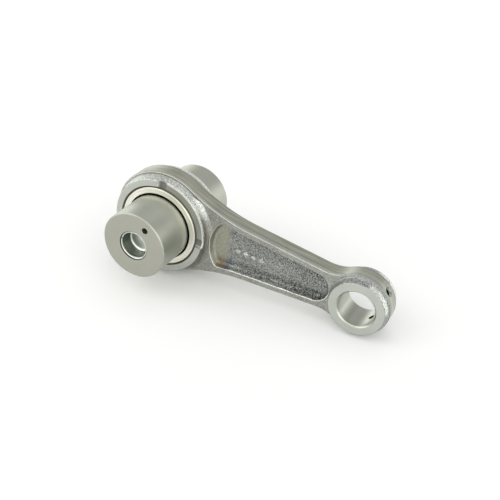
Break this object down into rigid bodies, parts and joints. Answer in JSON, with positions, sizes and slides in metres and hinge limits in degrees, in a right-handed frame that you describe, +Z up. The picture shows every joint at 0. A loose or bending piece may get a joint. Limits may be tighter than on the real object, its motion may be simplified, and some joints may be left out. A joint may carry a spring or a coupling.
{
  "type": "connecting rod",
  "caption": "Forged H-section connecting rod with a caged roller big-end bearing on a hollow crankpin closed by pressed cup plugs.",
  "frame": {"origin": "centre of the big end, on the crankpin axis and in the rod's middle plane", "axes": "+X along the rod from the big end to the small end, +Y along the crankpin axis, +Z up, across the flanges"},
  "size_m": [0.1527, 0.064, 0.0564],
  "materials": {
    "forged_steel": "shot-peened forging with ground edges and turned faces",
    "ground_steel": "hardened and ground",
    "plug_steel": "pressed sheet steel, bright",
    "silver_plate": "silver plated steel",
    "roller_steel": "superfinished bearing steel"
  },
  "bodies": {
    "rod": {"connecting_rod": "forged_steel"},
    "crankpin_body": {"crankpin": "ground_steel", "front_cup_plug": "plug_steel", "rear_cup_plug": "plug_steel"},
    "cage": {"bearing_cage": "silver_plate"},
    "roller_01": {"roller_01": "roller_steel"},
    "roller_02": {"roller_02": "roller_steel"},
    "roller_03": {"roller_03": "roller_steel"},
    "roller_04": {"roller_04": "roller_steel"},
    "roller_05": {"roller_05": "roller_steel"},
    "roller_06": {"roller_06": "roller_steel"},
    "roller_07": {"roller_07": "roller_steel"},
    "roller_08": {"roller_08": "roller_steel"},
    "roller_09": {"roller_09": "roller_steel"},
    "roller_10": {"roller_10": "roller_steel"},
    "roller_11": {"roller_11": "roller_steel"},
    "roller_12": {"roller_12": "roller_steel"},
    "roller_13": {"roller_13": "roller_steel"},
    "roller_14": {"roller_14": "roller_steel"},
    "roller_15": {"roller_15": "roller_steel"},
    "roller_16": {"roller_16": "roller_steel"}
  },
  "joints": [
    {"name": "crankpin_spin", "type": "hinge", "parent": "rod", "child": "crankpin_body", "pos_m": [0, 0, 0], "axis": [0, 1, 0], "continuous": true},
    {"name": "cage_orbit", "type": "hinge", "parent": "rod", "child": "cage", "pos_m": [0, 0, 0], "axis": [0, 1, 0], "continuous": true},
    {"name": "roller_01_spin", "type": "hinge", "parent": "cage", "child": "roller_01", "pos_m": [0.0195, 0, 0], "axis": [0, 1, 0], "continuous": true},
    {"name": "roller_02_spin", "type": "hinge", "parent": "cage", "child": "roller_02", "pos_m": [0.01802, 0, 0.00746], "axis": [0, 1, 0], "continuous": true},
    {"name": "roller_03_spin", "type": "hinge", "parent": "cage", "child": "roller_03", "pos_m": [0.01379, 0, 0.01379], "axis": [0, 1, 0], "continuous": true},
    {"name": "roller_04_spin", "type": "hinge", "parent": "cage", "child": "roller_04", "pos_m": [0.00746, 0, 0.01802], "axis": [0, 1, 0], "continuous": true},
    {"name": "roller_05_spin", "type": "hinge", "parent": "cage", "child": "roller_05", "pos_m": [0, 0, 0.0195], "axis": [0, 1, 0], "continuous": true},
    {"name": "roller_06_spin", "type": "hinge", "parent": "cage", "child": "roller_06", "pos_m": [-0.00746, 0, 0.01802], "axis": [0, 1, 0], "continuous": true},
    {"name": "roller_07_spin", "type": "hinge", "parent": "cage", "child": "roller_07", "pos_m": [-0.01379, 0, 0.01379], "axis": [0, 1, 0], "continuous": true},
    {"name": "roller_08_spin", "type": "hinge", "parent": "cage", "child": "roller_08", "pos_m": [-0.01802, 0, 0.00746], "axis": [0, 1, 0], "continuous": true},
    {"name": "roller_09_spin", "type": "hinge", "parent": "cage", "child": "roller_09", "pos_m": [-0.0195, 0, 0], "axis": [0, 1, 0], "continuous": true},
    {"name": "roller_10_spin", "type": "hinge", "parent": "cage", "child": "roller_10", "pos_m": [-0.01802, 0, -0.00746], "axis": [0, 1, 0], "continuous": true},
    {"name": "roller_11_spin", "type": "hinge", "parent": "cage", "child": "roller_11", "pos_m": [-0.01379, 0, -0.01379], "axis": [0, 1, 0], "continuous": true},
    {"name": "roller_12_spin", "type": "hinge", "parent": "cage", "child": "roller_12", "pos_m": [-0.00746, 0, -0.01802], "axis": [0, 1, 0], "continuous": true},
    {"name": "roller_13_spin", "type": "hinge", "parent": "cage", "child": "roller_13", "pos_m": [0, 0, -0.0195], "axis": [0, 1, 0], "continuous": true},
    {"name": "roller_14_spin", "type": "hinge", "parent": "cage", "child": "roller_14", "pos_m": [0.00746, 0, -0.01802], "axis": [0, 1, 0], "continuous": true},
    {"name": "roller_15_spin", "type": "hinge", "parent": "cage", "child": "roller_15", "pos_m": [0.01379, 0, -0.01379], "axis": [0, 1, 0], "continuous": true},
    {"name": "roller_16_spin", "type": "hinge", "parent": "cage", "child": "roller_16", "pos_m": [0.01802, 0, -0.00746], "axis": [0, 1, 0], "continuous": true}
  ],
  "couplings": [
    {"joint": "cage_orbit", "follows": "crankpin_spin", "ratio": 0.44872},
    {"joint": "roller_01_spin", "follows": "crankpin_spin", "ratio": -4.8237},
    {"joint": "roller_02_spin", "follows": "crankpin_spin", "ratio": -4.8237},
    {"joint": "roller_03_spin", "follows": "crankpin_spin", "ratio": -4.8237},
    {"joint": "roller_04_spin", "follows": "crankpin_spin", "ratio": -4.8237},
    {"joint": "roller_05_spin", "follows": "crankpin_spin", "ratio": -4.8237},
    {"joint": "roller_06_spin", "follows": "crankpin_spin", "ratio": -4.8237},
    {"joint": "roller_07_spin", "follows": "crankpin_spin", "ratio": -4.8237},
    {"joint": "roller_08_spin", "follows": "crankpin_spin", "ratio": -4.8237},
    {"joint": "roller_09_spin", "follows": "crankpin_spin", "ratio": -4.8237},
    {"joint": "roller_10_spin", "follows": "crankpin_spin", "ratio": -4.8237},
    {"joint": "roller_11_spin", "follows": "crankpin_spin", "ratio": -4.8237},
    {"joint": "roller_12_spin", "follows": "crankpin_spin", "ratio": -4.8237},
    {"joint": "roller_13_spin", "follows": "crankpin_spin", "ratio": -4.8237},
    {"joint": "roller_14_spin", "follows": "crankpin_spin", "ratio": -4.8237},
    {"joint": "roller_15_spin", "follows": "crankpin_spin", "ratio": -4.8237},
    {"joint": "roller_16_spin", "follows": "crankpin_spin", "ratio": -4.8237}
  ]
}
